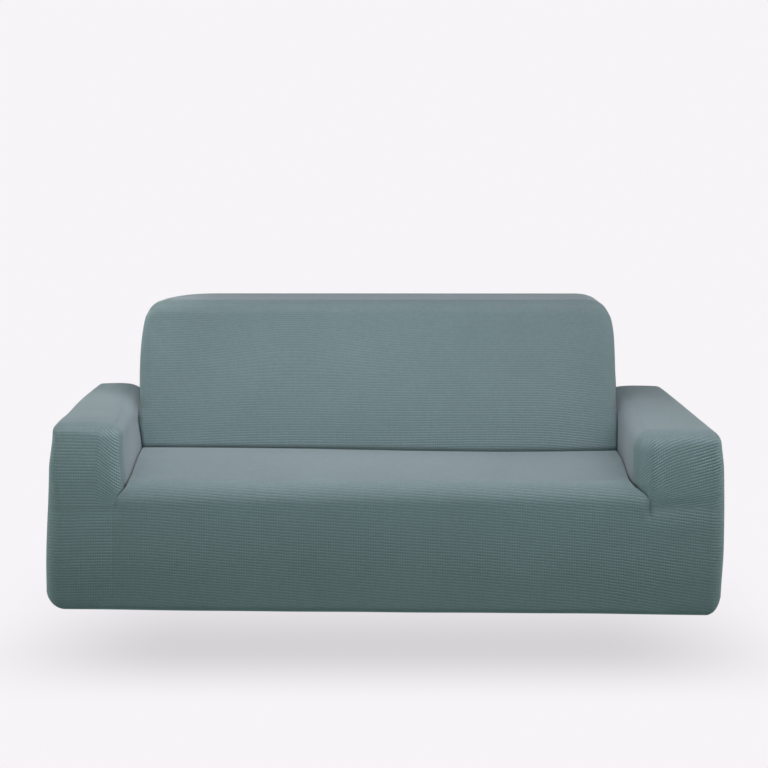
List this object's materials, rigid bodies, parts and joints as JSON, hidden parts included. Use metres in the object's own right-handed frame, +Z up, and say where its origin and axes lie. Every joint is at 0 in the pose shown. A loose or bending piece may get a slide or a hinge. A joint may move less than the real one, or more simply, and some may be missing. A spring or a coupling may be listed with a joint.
{
  "type": "sofa slipcover",
  "caption": "Fitted stretch slipcover for a two-seat sofa with box arms: seat and apron, arm covers, inside and outside back, hollow beneath to take the sofa.",
  "frame": {"origin": "centre of the hem's footprint, at the lowest point of the hem", "axes": "+X along the sofa's width, to the right as seen from the front; +Y from the front to the rear; +Z up"},
  "size_m": [1.7126, 0.8692, 0.7388],
  "materials": {
    "seat_knit": "matte raised check knit",
    "arm_left_knit": "matte raised check knit",
    "arm_right_knit": "matte raised check knit",
    "inside_back_knit": "matte raised check knit",
    "outside_back_knit": "matte raised check knit"
  },
  "bodies": {
    "root": {"seat_front": "seat_knit", "arm_left": "arm_left_knit", "arm_right": "arm_right_knit", "inside_back": "inside_back_knit", "outside_back": "outside_back_knit"}
  },
  "joints": []
}
